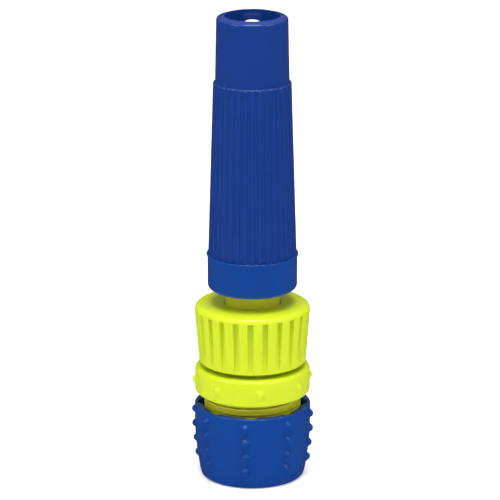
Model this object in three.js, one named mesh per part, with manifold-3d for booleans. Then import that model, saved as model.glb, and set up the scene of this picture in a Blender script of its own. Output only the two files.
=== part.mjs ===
// Adjustable hose spray nozzle on a quick-release hose connector.
// Millimetres, +Z up. The origin is the centre of the hose nut's lower face, and the whole
// part turns about Z: hose end at the bottom, spray mouth at the top.
import * as THREE from "three";
import { mergeVertices } from "three/addons/utils/BufferGeometryUtils.js";
import Module from "manifold-3d";

const wasm = await Module();
wasm.setup();

// ---------- Driving sizes: heights, from the hose end up ----------
const nutHeight = 22.0;
const ringTravel = 3.0; // how far the release ring pulls back towards the hose
const ringStandOff = 1.0; // what is left between ring and nut when it is pulled back
const ringHeight = 8.2; // the ring's knobbed grip band
const skirtGap = 1.8; // between the release ring and the grip skirt
const skirtHeight = 18.0;
const sleeveGap = 4.4; // neck that shows between the skirt and the closed sleeve
const endCapHeight = 10.9;
const gripLength = 52.8; // the fluted length of the sleeve
const tipBandLength = 19.9; // the smooth band below the mouth

// ---------- Driving sizes: radii ----------
const hoseBoreR = 6.25; // half-inch hose
const hoseWall = 2.25;
const waterR = 4.5;
const nutRimR = 17.5;
const nutBaseR = 15.9;
const ringR = 17.3;
const skirtTopR = 17.3;
const skirtBottomR = 16.1;
const neckR = 8.3;
const endCapR = 13.4;
const gripTopR = 11.6;
const tipBaseR = 11.0;
const mouthOuterR = 10.6;
const mouthR = 8.15;
const needleHeadR = 2.9;

// ---------- Driving sizes: threads and travels ----------
const sleevePitch = 3.0;
const sleeveTravel = 9.0; // three turns, from shut to a full jet
const nutPitch = 1.5;
const latchTravel = 0.9; // each claw's way out of the spigot's groove

// ---------- Driving sizes: rubber rings and spring ----------
const sealSectionR = 0.9;
const springWireR = 0.45;
const springTurns = 5;

// ---------- Clearances and walls ----------
const slideFit = 0.3; // between pieces that move on each other
const pressFit = 0.05; // between pieces that are pushed together for good
const threadFit = 0.25; // crest to root
const sealFit = 0.12; // round a rubber ring, which is drawn unsqueezed
const wall = 1.4;
const floor = 2.6; // floors, webs and shoulders

// ---------- Heights worked out from them ----------
const ringBottom = nutHeight + ringTravel + ringStandOff;
const ringTop = ringBottom + ringHeight;
const skirtBottom = ringTop + skirtGap;
const skirtTop = skirtBottom + skirtHeight;
const sleeveBottom = skirtTop + sleeveGap;
const endCapTop = sleeveBottom + endCapHeight;
const ledge = endCapTop + gripLength;
const mouthTop = ledge + tipBandLength;

// ---------- Shared helpers ----------
const sides = 20; // of a turned piece
const shellSides = 30; // of an outer shell
const v2 = (r, z) => new THREE.Vector2(r, z);

// Points on part of a circle, from one angle to another, in degrees.
function arc(r, z, radius, from, to, steps) {
  return Array.from({ length: steps + 1 }, (_, i) => {
    const a = THREE.MathUtils.degToRad(from + ((to - from) * i) / steps);
    return v2(r + radius * Math.cos(a), z + radius * Math.sin(a));
  });
}

// A profile of (radius, height) points turned about Z. It closes on itself.
function turned(profile, around = sides) {
  const closed = [...profile, profile[0].clone()];
  return new THREE.LatheGeometry(closed, around).rotateX(Math.PI / 2);
}

// A ring of round section, such as an O-ring.
function roundRing(ringRadius, z) {
  return turned(arc(ringRadius, z, sealSectionR, -90, 180, 3));
}

// The outline of a groove in a shaft that holds such a ring, against a bore of this radius.
const sealCentreR = (boreR) => boreR - sealFit - sealSectionR;
function sealGroove(z, shaftR, boreR) {
  const half = sealSectionR + 0.3;
  const bottomR = sealCentreR(boreR) - sealSectionR - sealFit;
  return [
    v2(shaftR, z - half),
    v2(bottomR, z - half),
    v2(bottomR, z + half),
    v2(shaftR, z + half),
  ];
}

function solidOf(geometry) {
  const bare = geometry.clone();
  bare.deleteAttribute("normal");
  bare.deleteAttribute("uv");
  const merged = mergeVertices(bare, 1e-4);
  return new wasm.Manifold(
    new wasm.Mesh({
      numProp: 3,
      vertProperties: merged.attributes.position.array,
      triVerts: new Uint32Array(merged.index.array),
    }),
  );
}

// Joins the added geometries to the base, then cuts the cut ones away.
function shaped(base, { add = [], cut = [] }) {
  let solid = solidOf(base);
  for (const piece of add) solid = solid.add(solidOf(piece));
  for (const piece of cut) solid = solid.subtract(solidOf(piece));
  const mesh = solid.getMesh();
  const geometry = new THREE.BufferGeometry();
  geometry.setAttribute("position", new THREE.BufferAttribute(mesh.vertProperties, 3));
  geometry.setIndex(new THREE.BufferAttribute(mesh.triVerts, 1));
  geometry.computeVertexNormals();
  return geometry;
}

// A section drawn in (radius, height) is pulled straight and wound about Z as a right-hand
// helix. The section is the same above and below its own zero height. Where it stands on a
// core, its two ends sink to `sunk`, the core's own radius, over half a turn.
function wound(section, { turns, pitch, z, perTurn = sides, sunk = null }) {
  const runOut = 0.5;
  const steps = Math.round(turns * perTurn);
  const bar = new THREE.ExtrudeGeometry(section, { depth: 1, steps, bevelEnabled: false });
  const at = bar.attributes.position;
  for (let i = 0; i < at.count; i++) {
    const turn = at.getZ(i) * turns;
    const fade = sunk === null ? 1 : Math.min(1, turn / runOut, (turns - turn) / runOut);
    const radius = sunk === null ? at.getX(i) : sunk + (at.getX(i) - sunk) * (0.3 + 0.7 * fade);
    const angle = turn * 2 * Math.PI;
    const height = z + pitch * turn - at.getY(i);
    at.setXYZ(i, radius * Math.cos(angle), radius * Math.sin(angle), height);
  }
  return bar;
}

// A thread: a ridge from its core's radius to its crest, rooted a little way into the core.
function threadRidge(coreR, crestR, { turns, pitch, z }) {
  const footR = coreR - Math.sign(crestR - coreR) * 0.35;
  const footHalf = pitch * 0.34;
  const crestHalf = pitch * 0.12;
  const section = new THREE.Shape([
    v2(footR, -footHalf),
    v2(crestR, -crestHalf),
    v2(crestR, crestHalf),
    v2(footR, footHalf),
  ]);
  return wound(section, { turns, pitch, z, sunk: footR });
}

// Copies of a geometry set round Z, the first at `start` degrees.
function ringOf(count, geometry, start = 0) {
  return Array.from({ length: count }, (_, i) =>
    geometry.clone().rotateZ(THREE.MathUtils.degToRad(start + (360 * i) / count)),
  );
}

// A box that runs outwards along +X from `inner` to `outer`, between two heights.
function spoke(inner, outer, width, low, high) {
  const middle = [(inner + outer) / 2, 0, (low + high) / 2];
  return new THREE.BoxGeometry(outer - inner, width, high - low).translate(...middle);
}

// A round knob that stands on an outside wall.
function knobOn(wallR, z) {
  const knobR = 1.25;
  return new THREE.IcosahedronGeometry(knobR, 0).translate(wallR - 0.2, 0, z);
}

// ---------- Materials ----------
const plastic = (color, roughness) =>
  new THREE.MeshStandardMaterial({ color, roughness, metalness: 0 });
const blue = plastic(0x1646a0, 0.35);
const lime = plastic(0xd8f02e, 0.45);
const white = plastic(0xf2f5ee, 0.4);
const rubber = plastic(0x161616, 0.8);
const steel = new THREE.MeshStandardMaterial({ color: 0xb9bdc2, roughness: 0.3, metalness: 1 });

const nozzle = new THREE.Group();
function part(name, geometry, material) {
  const mesh = new THREE.Mesh(geometry, material);
  mesh.name = name;
  nozzle.add(mesh);
  return mesh;
}

// ---------- Hose connector: sizes that its pieces share ----------
const hoseOuterR = hoseBoreR + hoseWall;
const nutHoleR = hoseOuterR + 0.5;
const nutBoreR = nutRimR - 2.7; // the root of the nut's thread, and its plain rim
const shellCrestR = nutBoreR - threadFit;
const shellRootR = shellCrestR - 0.7;
const nutCrestR = shellRootR + 0.2;
const shellInnerR = shellRootR - wall - 0.15;
const nutRimBore = 4.0; // plain bore above the nut's thread
const nutTurns = 2.5;
const nutSeat = 9.4; // where the nut's bore widens to its thread
const nutThreadLow = nutHeight - nutRimBore - nutTurns * nutPitch;
const shellThreadLow = nutThreadLow - 1.5 * nutPitch; // half a pitch out of step with the nut's
const shellBottom = shellThreadLow - 1.4;
const shellTop = ringBottom + 0.2;
const hoseStop = 16.0;
const headR = 9.9;
const socketFloor = 22.8;
const springPocket = socketFloor - floor;
const springPocketR = 12.7;
const socketR = 7.95;
const socketMouthR = 8.6;
const headTop = skirtBottom + 5.0;
const latchLow = skirtBottom + 0.75; // the claws lie between these heights
const latchHigh = latchLow + 1.8;
const latchWidth = 4.0;
const latchTipR = 7.6;
const windowFit = 0.25;

// The inside of the release ring, where the claws' outer ends bear on it.
const coneSlope = latchTravel / ringTravel;
const coneAt = (z) => headR + 1.1 + coneSlope * (z - latchLow);

function hoseNut() {
  const edge = 0.8;
  const knobRows = 8;
  const body = turned(
    [
      v2(nutHoleR, 0),
      v2(nutBaseR - 1.3, 0),
      v2(nutBaseR - 0.4, 0.8),
      v2(nutBaseR, 2.4),
      v2(nutRimR - 0.5, nutHeight * 0.45),
      v2(nutRimR - 0.05, nutHeight * 0.7),
      v2(nutRimR, nutHeight - edge),
      v2(nutRimR - 0.3, nutHeight),
      v2(nutBoreR, nutHeight),
      v2(nutBoreR, nutSeat),
      v2(shellInnerR + 1.1, nutSeat),
      v2(shellInnerR + 1.1, floor),
      v2(nutHoleR, floor),
    ],
    shellSides,
  );
  // Grip knobs: eight rows of four, on the outside wall.
  const knobs = [nutRimR - 0.1, nutRimR - 0.1, nutRimR - 0.6, nutRimR - 1.1].flatMap((r, row) =>
    ringOf(knobRows, knobOn(r, nutHeight - 2.2 - row * 4.65), -98.8),
  );
  const thread = { turns: nutTurns, pitch: nutPitch, z: nutThreadLow };
  const ridge = threadRidge(nutBoreR, nutCrestR, thread);
  // Scallops down the inside of the rim.
  const scallop = new THREE.CylinderGeometry(2.6, 2.6, nutRimBore + 1, 10)
    .rotateX(Math.PI / 2)
    .translate(nutBoreR - 1.9, 0, nutHeight - nutRimBore / 2 + 0.5);
  return shaped(body, { add: [...knobs, ridge], cut: ringOf(knobRows, scallop, -92) });
}

function hoseCollet() {
  const low = floor + 0.15;
  const fingers = low + 2.2;
  const top = shellBottom + floor;
  const boreR = hoseOuterR + 0.6;
  const tooth = 0.35;
  const body = turned([
    v2(boreR, low),
    v2(shellInnerR + 0.8, low),
    v2(shellInnerR + 0.8, low + 1.8),
    v2(shellInnerR - 0.4, fingers),
    v2(shellInnerR - 0.4, shellBottom - 1),
    v2(shellInnerR - 1.1, top),
    v2(boreR, top),
    v2(boreR - tooth, top - 1.2),
    v2(boreR, top - 1.4),
    v2(boreR - tooth, top - 3.2),
    v2(boreR, top - 3.4),
  ]);
  const slit = spoke(hoseBoreR, nutBoreR, 1.2, fingers + 0.2, top + 1);
  return shaped(body, { cut: ringOf(6, slit, 30) });
}

function connectorBody() {
  const tailLow = floor + 0.6;
  const barbs = 3;
  const barb = (hoseStop - tailLow - 2) / barbs;
  // The hose tail's barbs: each widens towards the hose stop, then steps in.
  const tail = Array.from({ length: barbs }, (_, i) => [
    v2(hoseBoreR - 0.4, tailLow + i * barb),
    v2(hoseBoreR + 0.35, tailLow + (i + 0.85) * barb),
  ]).flat();
  const body = turned([
    v2(waterR, tailLow),
    ...tail,
    v2(hoseBoreR - 0.3, hoseStop - 2),
    v2(hoseBoreR - 0.3, hoseStop),
    v2(shellInnerR, hoseStop),
    v2(shellInnerR, shellBottom),
    v2(shellRootR, shellBottom),
    v2(shellRootR, shellTop),
    v2(springPocketR, shellTop),
    v2(springPocketR, springPocket),
    v2(headR, springPocket),
    v2(headR, headTop),
    v2(socketMouthR + 0.5, headTop),
    v2(socketMouthR, headTop - 0.9),
    v2(socketMouthR, latchLow - 3.2),
    v2(socketR, latchLow - 3.9),
    v2(socketR, socketFloor),
    v2(waterR, socketFloor),
  ]);
  const turns = (shellTop - 0.6 - shellThreadLow) / nutPitch;
  const thread = { turns, pitch: nutPitch, z: shellThreadLow };
  const ridge = threadRidge(shellRootR, shellCrestR, thread);
  const width = latchWidth + 2 * windowFit;
  const window = spoke(waterR, headR + 1, width, latchLow - windowFit, latchHigh + windowFit);
  return shaped(body, { add: [ridge], cut: ringOf(4, window) });
}

function releaseRing() {
  const noseTop = latchHigh + ringTravel + 0.3;
  const body = turned(
    [
      v2(shellCrestR + 0.4, ringBottom),
      v2(ringR - 1.5, ringBottom),
      v2(ringR - 0.4, ringBottom + 0.5),
      v2(ringR, ringBottom + 1.4),
      ...arc(ringR - 1.2, ringTop - 1.2, 1.2, 0, 90, 3),
      v2(coneAt(noseTop) + 0.8, ringTop),
      v2(coneAt(noseTop) + 0.8, noseTop),
      v2(coneAt(noseTop), noseTop),
      v2(coneAt(latchLow), latchLow),
      v2(headR + slideFit, latchLow - 0.6),
      v2(headR + slideFit, ringTop - 0.2),
      v2(springPocketR + 0.2, ringTop - 0.2),
      v2(springPocketR + 0.2, shellTop + ringTravel + 0.2),
      v2(shellCrestR + 0.4, shellTop + ringTravel + 0.2),
    ],
    shellSides,
  );
  return shaped(body, { add: ringOf(8, knobOn(ringR, ringBottom + ringHeight / 2), -82.5) });
}

// One claw: a tongue through the head's window, and shoulders that stop on the head.
function latchClaw() {
  const shoulderWidth = latchWidth + 1.4;
  const block = (tipR, width) => {
    // The outer end's corners, and not its middle, reach the ring's cone.
    const outer = (z) => Math.sqrt(coneAt(z) ** 2 - (shoulderWidth / 2) ** 2) - 0.2;
    const side = new THREE.Shape([
      v2(tipR, latchLow),
      v2(outer(latchLow), latchLow),
      v2(outer(latchHigh), latchHigh),
      v2(tipR, latchHigh),
    ]);
    return new THREE.ExtrudeGeometry(side, { depth: width, bevelEnabled: false })
      .rotateX(Math.PI / 2)
      .translate(0, width / 2, 0);
  };
  return shaped(block(latchTipR, latchWidth), { add: [block(headR + 0.1, shoulderWidth)] });
}

function releaseSpring() {
  const low = springPocket + springWireR + 0.1;
  const high = ringTop - 0.2 - springWireR - 0.1;
  const meanR = (headR + springPocketR) / 2;
  const wire = new THREE.Shape(arc(meanR, 0, springWireR, -90, 210, 5));
  const pitch = (high - low) / springTurns;
  return wound(wire, { turns: springTurns, pitch, z: low, perTurn: 12 });
}

// ---------- Nozzle: sizes that its pieces share ----------
const spigotR = socketMouthR - 0.35;
const spigotNoseR = socketR - 0.2;
const spigotLow = socketFloor + 0.5;
const spigotSeal = (spigotLow + latchLow - 3.9) / 2;
const flangeTop = skirtTop - 2.1;
const flangeR = 10.5;
const sleeveBoreR = neckR + 0.4; // the root of the sleeve's thread, and its rear bore
const stemCrestR = sleeveBoreR - threadFit;
const stemRootR = stemCrestR - 0.85;
const sleeveCrestR = stemRootR + 0.2;
const chamberR = sleeveCrestR; // the sleeve's front bore, past its thread
const hubR = sleeveBoreR + wall + 0.2;
const threadLow = endCapTop + 7.7;
const sleeveThreadTurns = 2.5;
const stemThreadTurns = sleeveThreadTurns + sleeveTravel / sleevePitch + 0.6;
const threadHigh = threadLow + stemThreadTurns * sleevePitch;
const boreStep = threadHigh + 1.2; // the sleeve's rear bore ends here
const rearSeal = boreStep + sleeveTravel + 2.4;
const frontSeal = rearSeal + 4.0;
const stemTubeR = 6.2;
const portR = 1.9;
const stemTop = mouthTop - 18.8;
const portHeight = stemTop - portR - 3.8;
const webTop = mouthTop - 8.0;
const webLow = webTop - 2.8; // the narrow of the orifice starts here
const orificeR = needleHeadR + 0.7;
const needleShankR = 2.2;

function nozzleStem() {
  const landR = stemRootR - 0.2;
  const catchR = latchTipR - 0.3;
  const body = turned([
    v2(waterR, spigotLow),
    v2(spigotNoseR - 0.8, spigotLow),
    v2(spigotNoseR, spigotLow + 1),
    ...sealGroove(spigotSeal, spigotNoseR, socketR),
    v2(spigotNoseR, latchLow - 3.0),
    v2(spigotR, latchLow - 2.4),
    v2(spigotR, latchLow - 0.45),
    v2(catchR, latchLow - 0.45),
    v2(catchR, latchHigh + 0.45),
    v2(spigotR, latchHigh + 0.45),
    v2(spigotR, flangeTop - 1.5),
    v2(flangeR, flangeTop - 1.5),
    v2(flangeR, flangeTop),
    v2(neckR, flangeTop),
    v2(neckR, threadLow - 1.4),
    v2(stemRootR, threadLow - 0.7),
    v2(stemRootR, threadHigh + 0.4),
    v2(landR, threadHigh + 0.7),
    ...sealGroove(rearSeal, landR, chamberR),
    ...sealGroove(frontSeal, landR, chamberR),
    v2(landR, frontSeal + 2.0),
    v2(stemTubeR, frontSeal + 2.5),
    v2(stemTubeR, stemTop),
    v2(waterR, stemTop),
  ]);
  const thread = { turns: stemThreadTurns, pitch: sleevePitch, z: threadLow };
  const ridge = threadRidge(stemRootR, stemCrestR, thread);
  const drill = new THREE.CylinderGeometry(portR, portR, 4 * stemTubeR, 8)
    .rotateX(Math.PI / 2)
    .translate(0, 0, portHeight);
  return shaped(body, { add: [ridge], cut: [drill, drill.clone().rotateZ(Math.PI / 2)] });
}

function gripSkirt() {
  const cavityR = skirtBottomR - wall;
  const grooves = 24;
  const body = turned(
    [
      v2(neckR + pressFit, flangeTop + pressFit),
      v2(cavityR, flangeTop + pressFit),
      v2(cavityR, skirtBottom),
      v2(skirtBottomR - 0.2, skirtBottom),
      v2(skirtBottomR, skirtBottom + 0.2),
      ...arc(skirtTopR - 1.5, skirtTop - 1.9, 1.5, 0, 80, 3),
      v2(skirtTopR * 0.85, skirtTop),
      v2(neckR + pressFit, skirtTop),
    ],
    shellSides,
  );
  const high = skirtTop - 1.7;
  const groove = spoke(skirtBottomR - 0.2, skirtTopR + 2, 1.8, skirtBottom - 1, high);
  return shaped(body, { cut: ringOf(grooves, groove, -92) });
}

// The needle's seal rests on the sleeve's seat cone while the sleeve is shut.
const seatLow = webLow - 2.6;
const needleSealR = needleShankR + sealFit + sealSectionR;
const seatSlope = (chamberR - orificeR) / (webLow - seatLow);
const seatAtSeal = webLow - (needleSealR - orificeR) / seatSlope;
const seatReach = (sealSectionR + 0.1) * Math.hypot(1, 1 / seatSlope);
const needleSealZ = seatAtSeal - seatReach;

function sprayNeedle() {
  const headTop = mouthTop - 1.5;
  const half = sealSectionR + 0.1;
  return turned([
    v2(0, stemTop - 3.5),
    v2(waterR - pressFit * 2, stemTop - 3.5),
    v2(waterR - pressFit * 2, stemTop + pressFit),
    v2(stemTubeR - 0.1, stemTop + pressFit),
    v2(stemTubeR - 0.1, stemTop + 1.3),
    v2(needleSealR - 0.2, stemTop + 1.8),
    v2(needleSealR - 0.2, needleSealZ - half),
    v2(needleShankR, needleSealZ - half),
    v2(needleShankR, headTop - 5.4),
    v2(needleHeadR, headTop - 3.6),
    v2(needleHeadR, headTop - 1.0),
    v2(needleHeadR * 0.84, headTop - 0.4),
    v2(needleHeadR * 0.53, headTop),
    v2(0, headTop),
  ]);
}

function twistSleeve() {
  const flutes = 36;
  const lowR = endCapR - 0.2;
  const outer = turned(
    [
      v2(0.001, endCapTop + 0.1),
      v2(lowR, endCapTop + 0.1),
      v2(gripTopR, ledge - 0.5),
      v2(gripTopR - 0.15, ledge - 0.1),
      v2(tipBaseR, ledge + 0.1),
      v2(mouthOuterR, mouthTop - 1.4),
      ...arc(mouthOuterR - 1.0, mouthTop - 1.4, 1.0, 20, 80, 2),
      v2(mouthR, mouthTop),
      v2(0.001, mouthTop),
    ],
    flutes,
  );
  const hubLow = sleeveBottom + 6.0;
  const hub = turned([
    v2(sleeveBoreR, hubLow),
    v2(hubR, hubLow),
    v2(hubR, endCapTop + 1),
    v2(sleeveBoreR, endCapTop + 1),
  ]);
  const bore = turned([
    v2(0.001, hubLow - 1),
    v2(sleeveBoreR, hubLow - 1),
    v2(sleeveBoreR, boreStep - 0.5),
    v2(chamberR, boreStep),
    v2(chamberR, seatLow),
    v2(orificeR, webLow),
    v2(orificeR, webTop),
    v2(mouthR, webTop),
    v2(mouthR, mouthTop + 1),
    v2(0.001, mouthTop + 1),
  ]);
  // A ring-shaped pocket keeps the moulding's walls even. The end cap closes it.
  const pocketTop = boreStep - 1;
  const taper = (lowR - gripTopR) / gripLength;
  const pocketR = (z) => lowR - taper * (z - endCapTop) - wall;
  const pocket = turned([
    v2(hubR, endCapTop - 1),
    v2(pocketR(endCapTop), endCapTop - 1),
    v2(pocketR(pocketTop), pocketTop),
    v2(hubR, pocketTop),
  ]);
  const thread = { turns: sleeveThreadTurns, pitch: sleevePitch, z: threadLow + sleevePitch / 2 };
  const ridge = threadRidge(sleeveBoreR, sleeveCrestR, thread);
  // Flutes follow the taper of the grip, from the end cap to the ledge.
  const fluteR = 0.75;
  const flute = new THREE.CylinderGeometry(fluteR, fluteR, gripLength + 4, 4)
    .rotateX(Math.PI / 2)
    .rotateY(-Math.atan(taper))
    .translate((lowR + gripTopR) / 2 + 0.25, 0, (endCapTop + ledge) / 2 + 1.5);
  const cutters = [bore, pocket, ...ringOf(flutes, flute, 5)];
  return shaped(shaped(outer, { cut: cutters }), { add: [hub, ridge] });
}

function sleeveEndCap() {
  const holeR = neckR + slideFit;
  const capInnerR = hubR + pressFit * 2;
  return turned(
    [
      v2(holeR, sleeveBottom),
      ...arc(endCapR - 1.2, sleeveBottom + 1.2, 1.2, -90, 0, 2),
      v2(endCapR, endCapTop - 1.4),
      ...arc(endCapR - 0.3, endCapTop - 0.6, 0.55, -60, 60, 2),
      v2(endCapR - 0.5, endCapTop),
      v2(capInnerR, endCapTop),
      v2(capInnerR, sleeveBottom + 2),
      v2(holeR, sleeveBottom + 2),
    ],
    shellSides,
  );
}

// ---------- The assembly ----------
part("hose_nut", hoseNut(), blue);
part("hose_collet", hoseCollet(), white);
part("connector_body", connectorBody(), lime);
part("release_ring", releaseRing(), lime);
part("release_spring", releaseSpring(), steel);
for (let i = 0; i < 4; i++) {
  part(`latch_claw_${i + 1}`, latchClaw(), white).rotation.z = (i * Math.PI) / 2;
}
part("nozzle_stem", nozzleStem(), lime);
part("grip_skirt", gripSkirt(), lime);
part("spigot_o_ring", roundRing(sealCentreR(socketR), spigotSeal), rubber);
part("stem_o_ring_rear", roundRing(sealCentreR(chamberR), rearSeal), rubber);
part("stem_o_ring_front", roundRing(sealCentreR(chamberR), frontSeal), rubber);
part("spray_needle", sprayNeedle(), white);
part("needle_o_ring", roundRing(needleSealR, needleSealZ), rubber);
part("wiper_ring", roundRing(neckR + sealFit + sealSectionR, sleeveBottom + 4.0), rubber);
part("sleeve_end_cap", sleeveEndCap(), blue);
part("twist_sleeve", twistSleeve(), blue);

export default nozzle;
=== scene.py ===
# %% [markdown]
# # A garden spray nozzle on its quick hose connector
#
# The object is a straight twist nozzle: a long blue sleeve screws along a lime stem, and a
# pin inside shapes the jet. The stem's spigot is plugged into a quick connector, and the
# connector's blue nut clamps the hose. The frame holds every part as a plain solid at its
# real size. Here each part gets the surface that a moulded part has: flutes, ribs, knobs,
# rounded edges, and plastics with a faint grain.

# %% Load the fixed frame
import math

import bpy
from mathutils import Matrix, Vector


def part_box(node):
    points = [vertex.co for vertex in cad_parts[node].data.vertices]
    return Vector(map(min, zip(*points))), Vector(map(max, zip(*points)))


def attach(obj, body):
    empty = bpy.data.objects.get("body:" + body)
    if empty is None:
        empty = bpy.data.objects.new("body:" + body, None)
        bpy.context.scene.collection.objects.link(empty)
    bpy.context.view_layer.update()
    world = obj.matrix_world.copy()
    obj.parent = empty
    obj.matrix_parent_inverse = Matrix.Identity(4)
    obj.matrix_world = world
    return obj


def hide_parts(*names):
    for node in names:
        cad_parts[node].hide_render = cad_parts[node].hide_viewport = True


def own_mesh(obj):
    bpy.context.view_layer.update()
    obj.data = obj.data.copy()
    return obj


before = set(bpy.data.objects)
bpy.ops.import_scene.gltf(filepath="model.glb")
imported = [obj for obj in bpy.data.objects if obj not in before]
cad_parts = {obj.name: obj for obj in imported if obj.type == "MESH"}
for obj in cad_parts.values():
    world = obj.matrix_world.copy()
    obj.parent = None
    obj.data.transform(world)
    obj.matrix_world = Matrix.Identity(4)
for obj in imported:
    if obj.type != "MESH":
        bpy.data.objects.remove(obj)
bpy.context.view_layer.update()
MM = 0.001
print("parts in the frame:", len(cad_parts))

# %% [markdown]
# ## Measures from the frame
#
# Every height and radius starts from the frame's own boxes, in millimetres, so a new piece
# drops into the place of the plain one. A part that turns about Z needs only three numbers:
# its lowest height, its highest height and its radius.

# %% Read each part's heights and radius
def reach(node):
    """The part's lowest height, highest height and half width, in millimetres."""
    low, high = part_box(node)
    return low.z / MM, high.z / MM, (high.x - low.x) / 2 / MM


NUT_LOW, NUT_TOP, _ = reach("hose_nut")
RING_LOW, RING_NOSE, _ = reach("release_ring")
SKIRT_LOW, SKIRT_TOP, SKIRT_R = reach("grip_skirt")
CAP_LOW, CAP_TOP, _ = reach("sleeve_end_cap")
SLEEVE_LOW, MOUTH_TOP, _ = reach("twist_sleeve")
STEM_LOW, STEM_TOP, _ = reach("nozzle_stem")
BODY_LOW, BODY_TOP, _ = reach("connector_body")
NEEDLE_LOW, NEEDLE_TOP, _ = reach("spray_needle")
COLLET_LOW, COLLET_TOP, _ = reach("hose_collet")
SPRING_LOW, SPRING_TOP, SPRING_R = reach("release_spring")
CLAW_LOW, CLAW_TOP, _ = reach("latch_claw_1")
print(f"mouth at {MOUTH_TOP:.1f} mm, skirt {SKIRT_LOW:.1f} to {SKIRT_TOP:.1f} mm")

# %% [markdown]
# ## The camera
#
# A long lens from a metre away keeps the sleeve's sides nearly parallel, and looking a
# little down on the object shows the round tops of its shoulders.

# %% Place the camera
CAMERA_LENS = 252
CAMERA_PLACE = (-0.72 * MM, -1.0, 0.37215)
CAMERA_DOWN = math.radians(16.8)
CAMERA_ROLL = math.radians(-0.05)
bpy.ops.object.select_all(action="DESELECT")
bpy.ops.object.camera_add(location=CAMERA_PLACE)
camera = bpy.context.object
camera.name = "studio_camera"
camera.rotation_mode = "ZYX"
camera.rotation_euler = (math.pi / 2 - CAMERA_DOWN, 0, CAMERA_ROLL)
camera.data.lens = CAMERA_LENS
camera.data.sensor_width = 36
camera.data.clip_end = 20
bpy.context.scene.camera = camera
print("camera lens:", camera.data.lens, "mm")

# %% [markdown]
# ## The studio
#
# The object stands on a pale floor under soft white light. A broad sheet of light above it is
# the main lamp, and a window on each side lights its flanks. The room is dark near the floor
# and brighter overhead, so a smooth wall has a gradient to reflect and doesn't look chalky.
# The floor glows a little and stays out of reflections, and behind it the camera sees white.

# %% Build the floor and the lights
FLOOR_SIZE = 60
FLOOR_Z = -0.1 * MM
FLOOR_GLOW = 0.3
LAMP_TINT = (0.95, 1.0, 0.97)
LAMP_AIM = (0, 0, 0.07)
ROOM_TINT = (1.0, 0.88, 0.95, 1)


def floor_material():
    """A pale, even floor with the faintest mottle."""
    material = bpy.data.materials.new("studio_floor")
    material.use_nodes = True
    nodes, links = material.node_tree.nodes, material.node_tree.links
    shader = nodes["Principled BSDF"]
    shader.inputs["Roughness"].default_value = 0.75
    mottle = nodes.new("ShaderNodeTexNoise")
    mottle.inputs["Scale"].default_value = 3.0
    tint = nodes.new("ShaderNodeMix")
    tint.data_type = "RGBA"
    tint.inputs["A"].default_value = (0.9, 0.9, 0.9, 1)
    tint.inputs["B"].default_value = (0.94, 0.94, 0.94, 1)
    links.new(mottle.outputs["Fac"], tint.inputs["Factor"])
    links.new(tint.outputs["Result"], shader.inputs["Base Color"])
    shader.inputs["Emission Color"].default_value = (1, 1, 1, 1)
    shader.inputs["Emission Strength"].default_value = FLOOR_GLOW
    return material


def soft_lamp(name, place, size, power):
    """A square lamp at a place, turned towards the object."""
    bpy.ops.object.select_all(action="DESELECT")
    bpy.ops.object.light_add(type="AREA", location=place)
    lamp = bpy.context.object
    lamp.name = name
    lamp.data.size = size
    lamp.data.energy = power
    lamp.data.color = LAMP_TINT
    lamp.rotation_mode = "QUATERNION"
    lamp.rotation_quaternion = (Vector(LAMP_AIM) - Vector(place)).to_track_quat("-Z", "Y")
    return lamp


def white_room():
    """A world that brightens upwards, and is plain white where the camera sees it."""
    world = bpy.data.worlds.new("white_room")
    world.use_nodes = True
    nodes, links = world.node_tree.nodes, world.node_tree.links
    background = nodes["Background"]
    background.inputs["Color"].default_value = ROOM_TINT
    direction = nodes.new("ShaderNodeTexCoord")
    upward = nodes.new("ShaderNodeSeparateXYZ")
    links.new(direction.outputs["Generated"], upward.inputs["Vector"])
    glow = nodes.new("ShaderNodeMapRange")
    glow.inputs["From Min"].default_value = 0.1
    glow.inputs["From Max"].default_value = 0.9
    glow.inputs["To Min"].default_value = 0.06
    glow.inputs["To Max"].default_value = 0.6
    links.new(upward.outputs["Z"], glow.inputs["Value"])
    ray = nodes.new("ShaderNodeLightPath")
    backdrop = nodes.new("ShaderNodeMath")
    backdrop.operation = "MULTIPLY_ADD"
    backdrop.inputs[1].default_value = 1.2
    links.new(ray.outputs["Is Camera Ray"], backdrop.inputs[0])
    links.new(glow.outputs["Result"], backdrop.inputs[2])
    links.new(backdrop.outputs["Value"], background.inputs["Strength"])
    return world


bpy.ops.object.select_all(action="DESELECT")
bpy.ops.mesh.primitive_plane_add(size=FLOOR_SIZE, location=(0, 0, FLOOR_Z))
studio_floor = bpy.context.object
studio_floor.name = "studio_floor"
studio_floor.data.materials.append(floor_material())
studio_floor.visible_glossy = False

soft_lamp("window_left", (-1.15, -0.6, 0.95), 0.7, 6.5)
soft_lamp("window_right", (1.15, -0.6, 0.95), 0.7, 5.5)
soft_lamp("top_sheet", (0, -0.25, 1.4), 0.8, 19)
bpy.context.scene.world = white_room()
bpy.context.scene.view_settings.view_transform = "Standard"

# %% [markdown]
# ## Moulded plastic, as a node group
#
# All the plastics here come out of polished steel moulds. Their surface is not perfectly
# flat: it has a fine grain, slow swells where the wall shrank, and slightly duller and
# shinier patches. The group makes these from noise on Object coordinates and gives out a
# tone, a roughness and a normal, and each plastic sets its own amounts.

# %% Build the shared group
def group_socket(group, name, way, kind, default=None):
    """Adds one named input or output to a node group."""
    socket = group.interface.new_socket(name=name, in_out=way, socket_type=kind)
    if default is not None:
        socket.default_value = default
    return socket


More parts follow.
